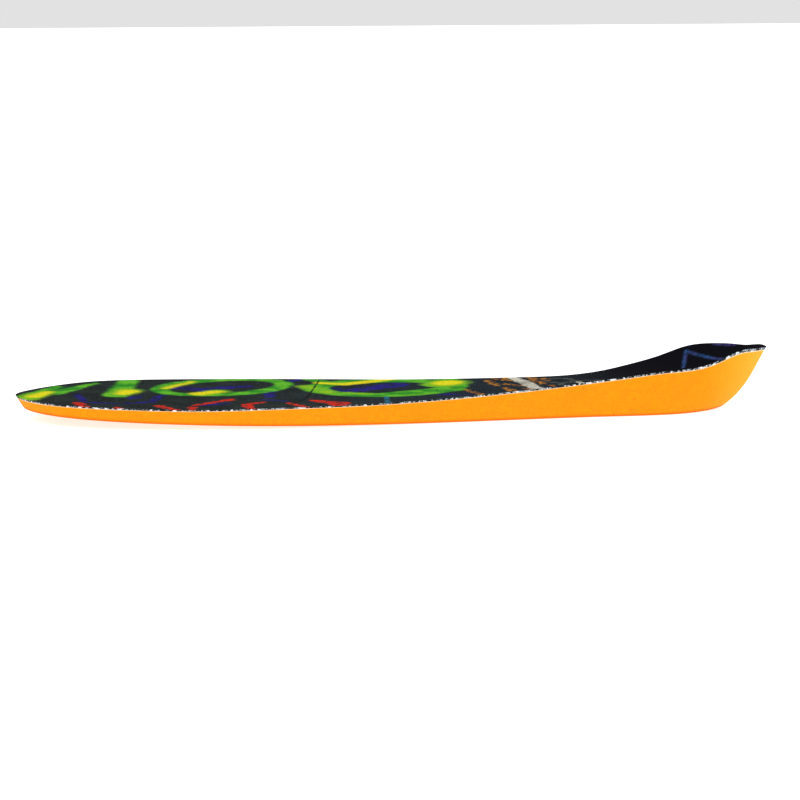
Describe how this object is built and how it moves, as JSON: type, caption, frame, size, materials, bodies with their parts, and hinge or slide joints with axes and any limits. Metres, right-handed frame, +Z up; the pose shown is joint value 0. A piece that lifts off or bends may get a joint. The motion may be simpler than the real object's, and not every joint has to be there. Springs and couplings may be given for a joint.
{
  "type": "shoe insole",
  "caption": "Moulded full-length insole for a right shoe: foam footbed with an arch flange and a deep heel cup, under a printed fabric top.",
  "frame": {"origin": "on the ground, below the middle of the insole's length and width", "axes": "+X towards the heel, -Y towards the medial side with the arch flange, +Z up"},
  "size_m": [0.281, 0.092, 0.023],
  "materials": {
    "foam": "matte moulded polyurethane foam",
    "cover_fabric": "dark knit, printed in green, yellow, blue and red",
    "adhesive": "pale hot-melt film",
    "pad": "matte dense foam"
  },
  "bodies": {
    "root": {"foam_body": "foam", "cover_adhesive": "adhesive", "top_cover": "cover_fabric", "heel_pad": "pad", "heel_pad_adhesive": "adhesive", "forefoot_pad": "pad", "forefoot_pad_adhesive": "adhesive"}
  },
  "joints": []
}
